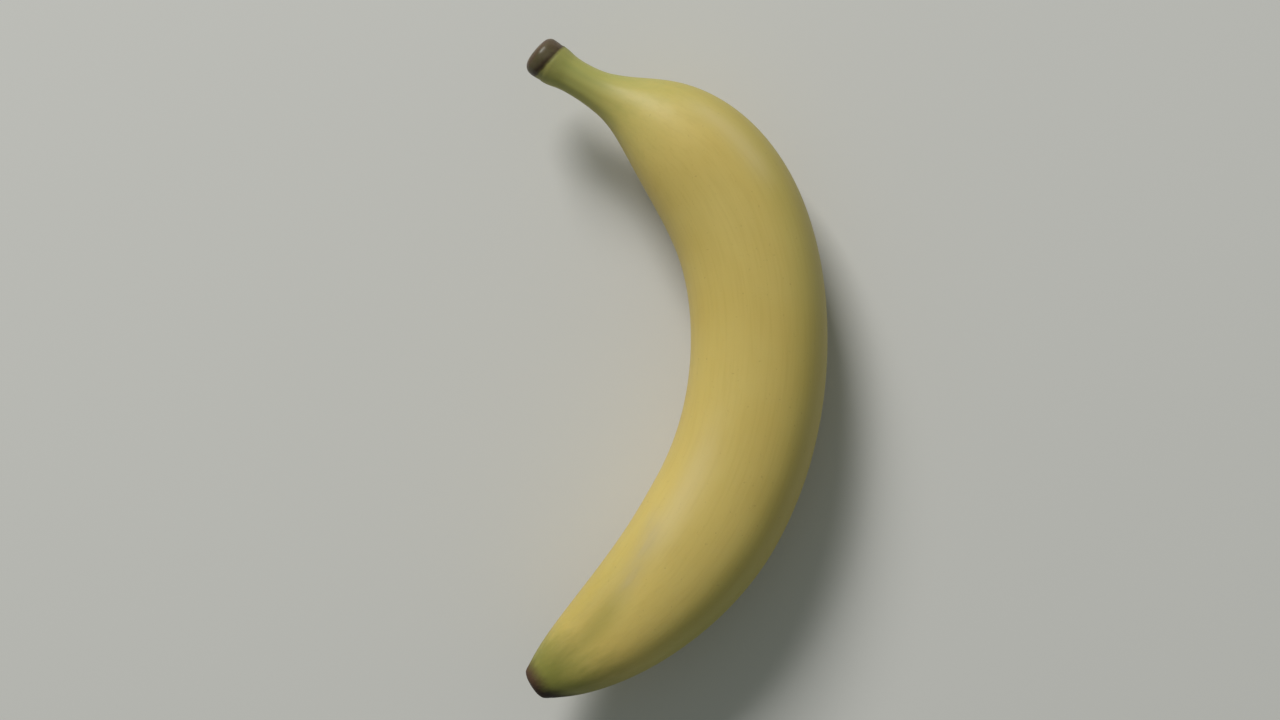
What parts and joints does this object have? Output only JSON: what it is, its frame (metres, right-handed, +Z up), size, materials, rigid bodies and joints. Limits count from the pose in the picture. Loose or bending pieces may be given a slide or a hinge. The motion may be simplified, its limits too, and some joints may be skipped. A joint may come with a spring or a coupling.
{
  "type": "banana",
  "caption": "Whole ripe banana lying on its side, bent body with soft ribs, green neck, brown cut stem and dark blunt tip.",
  "frame": {"origin": "middle of the fruit's box in X and Y, on the surface it lies on", "axes": "+Y from the blossom end towards the stem end, +X towards the back of the bend, +Z up"},
  "size_m": [0.0782, 0.1704, 0.0342],
  "materials": {
    "peel": "satin yellow peel, green at the neck and tip, brown at the cut stem and the blossom end"
  },
  "bodies": {
    "root": {"banana": "peel"}
  },
  "joints": []
}
